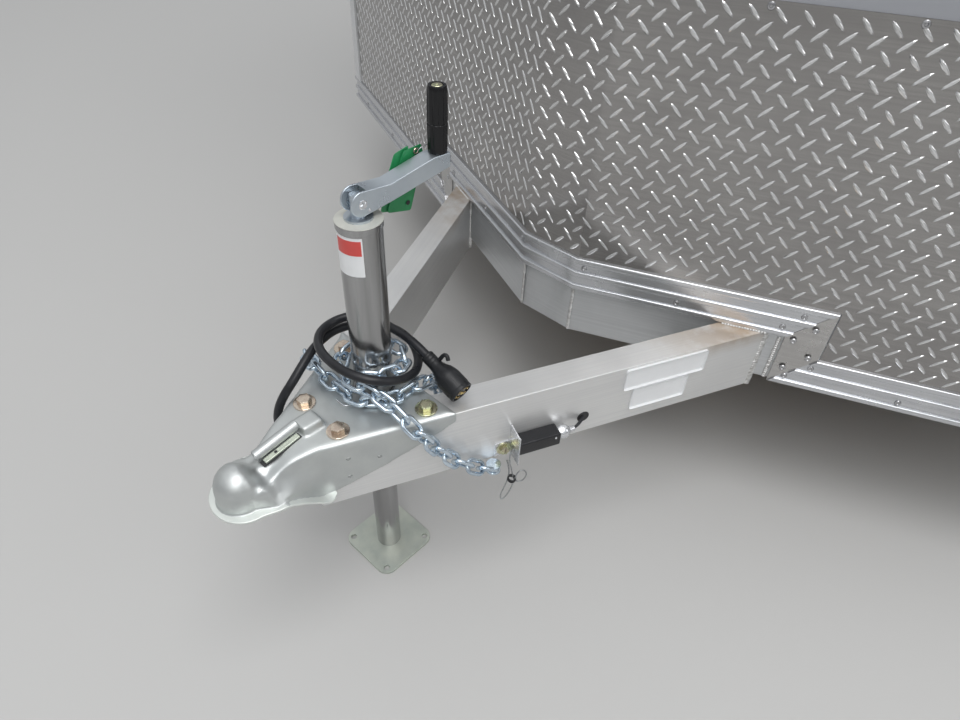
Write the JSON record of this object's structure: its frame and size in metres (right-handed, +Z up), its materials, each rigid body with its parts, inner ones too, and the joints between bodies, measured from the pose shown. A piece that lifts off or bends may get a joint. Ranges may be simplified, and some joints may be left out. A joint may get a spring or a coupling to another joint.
{
  "type": "enclosed cargo trailer",
  "caption": "Enclosed V-nose cargo trailer on a tandem axle, with a tread plate stone guard, an A-frame tongue with coupler and jack, a side door and a rear ramp door.",
  "frame": {"origin": "on the floor, below the middle of the whole outline", "axes": "+X to the trailer's left, -Y to its front, +Z up"},
  "size_m": [2.397, 5.5071, 2.448],
  "materials": {
    "galvanised_coupler": "bright zinc plate with a fine spangle",
    "zinc_jack": "zinc plated steel, satin",
    "yellow_zinc": "yellow passivated zinc",
    "rail_aluminium": "mill finish extrusion, faint drawn lines",
    "trim_aluminium": "bright anodised extrusion",
    "tread_plate": "bright diamond tread plate",
    "wall_grey": "gloss mid grey sheet",
    "black_plastic": "moulded, lightly grained",
    "cord_rubber": "smooth jacket",
    "chain_zinc": "clear zinc, satin",
    "tyre_rubber": "road tyre",
    "wheel_silver": "silver paint",
    "axle_black": "black paint",
    "deck_ply": "plywood",
    "lamp_red": "clear red lens",
    "lamp_amber": "clear amber lens",
    "steel_cable": "stranded wire"
  },
  "bodies": {
    "chassis": {"arch_trims": "trim_aluminium", "axle_front": "axle_black", "axle_rear": "axle_black", "breakaway_lanyard": "steel_cable", "breakaway_switch": "black_plastic", "cord_grommet": "black_plastic", "coupler_body": "galvanised_coupler", "coupler_bolts": "yellow_zinc", "coupler_clamp": "galvanised_coupler", "coupler_latch": "galvanised_coupler", "floor_deck": "deck_ply", "frame_cross_members": "rail_aluminium", "frame_main_rails": "rail_aluminium", "frame_nose": "rail_aluminium", "frame_rear_sill": "rail_aluminium", "frame_sides": "rail_aluminium", "front_posts": "trim_aluminium", "jack_tube": "zinc_jack", "lock_keepers": "zinc_jack", "marker_lamps": "lamp_amber", "nose_wall": "wall_grey", "rail_corner_plates": "trim_aluminium", "rear_frame": "trim_aluminium", "roof": "trim_aluminium", "rub_rail_upper": "trim_aluminium", "rub_rails_lower": "trim_aluminium", "safety_chain_left": "chain_zinc", "safety_chain_right": "chain_zinc", "side_door_frame": "trim_aluminium", "side_wall_left": "wall_grey", "side_wall_right": "wall_grey", "stone_guard": "tread_plate", "tail_lamps": "lamp_red", "tongue_rail_left": "rail_aluminium", "tongue_rail_right": "rail_aluminium", "top_trim": "trim_aluminium", "trailer_cord": "cord_rubber", "trailer_plug": "black_plastic", "wheel_box_left": "axle_black", "wheel_box_right": "axle_black"},
    "jack_leg": {"jack_ram": "zinc_jack", "jack_foot": "zinc_jack"},
    "jack_handle": {"jack_crank": "zinc_jack", "crank_head": "zinc_jack", "crank_grip": "black_plastic"},
    "side_door": {"side_door": "wall_grey", "side_door_lock": "zinc_jack"},
    "ramp_door": {"ramp_door": "wall_grey", "ramp_hinge": "zinc_jack", "ramp_locks": "zinc_jack"},
    "wheel_front_left": {"wheel_front_left": "wheel_silver", "tyre_front_left": "tyre_rubber"},
    "wheel_front_right": {"wheel_front_right": "wheel_silver", "tyre_front_right": "tyre_rubber"},
    "wheel_rear_left": {"wheel_rear_left": "wheel_silver", "tyre_rear_left": "tyre_rubber"},
    "wheel_rear_right": {"wheel_rear_right": "wheel_silver", "tyre_rear_right": "tyre_rubber"}
  },
  "joints": [
    {"name": "jack_crank_turn", "type": "hinge", "parent": "chassis", "child": "jack_handle", "pos_m": [0, -2.46556, 0.735], "axis": [0, 0, 1], "range_deg": [-2880, 11520]},
    {"name": "jack_leg_slide", "type": "slide", "parent": "chassis", "child": "jack_leg", "axis": [0, 0, 1], "range_m": [-0.0508, 0.2032]},
    {"name": "side_door_hinge", "type": "hinge", "parent": "chassis", "child": "side_door", "pos_m": [-1.182, -1.3562, 1.4], "axis": [0, 0, 1], "range_deg": [0, 170]},
    {"name": "ramp_door_hinge", "type": "hinge", "parent": "chassis", "child": "ramp_door", "pos_m": [0, 2.72656, 0.385], "axis": [-1, 0, 0], "range_deg": [0, 100]},
    {"name": "wheel_front_left_turn", "type": "hinge", "parent": "chassis", "child": "wheel_front_left", "pos_m": [1.0525, 0.2148, 0.332], "axis": [1, 0, 0], "continuous": true},
    {"name": "wheel_front_right_turn", "type": "hinge", "parent": "chassis", "child": "wheel_front_right", "pos_m": [-1.0525, 0.2148, 0.332], "axis": [1, 0, 0], "continuous": true},
    {"name": "wheel_rear_left_turn", "type": "hinge", "parent": "chassis", "child": "wheel_rear_left", "pos_m": [1.0525, 1.0788, 0.332], "axis": [1, 0, 0], "continuous": true},
    {"name": "wheel_rear_right_turn", "type": "hinge", "parent": "chassis", "child": "wheel_rear_right", "pos_m": [-1.0525, 1.0788, 0.332], "axis": [1, 0, 0], "continuous": true}
  ],
  "couplings": [
    {"joint": "jack_leg_slide", "follows": "jack_crank_turn", "m_per_rad": 0.0010106}
  ]
}
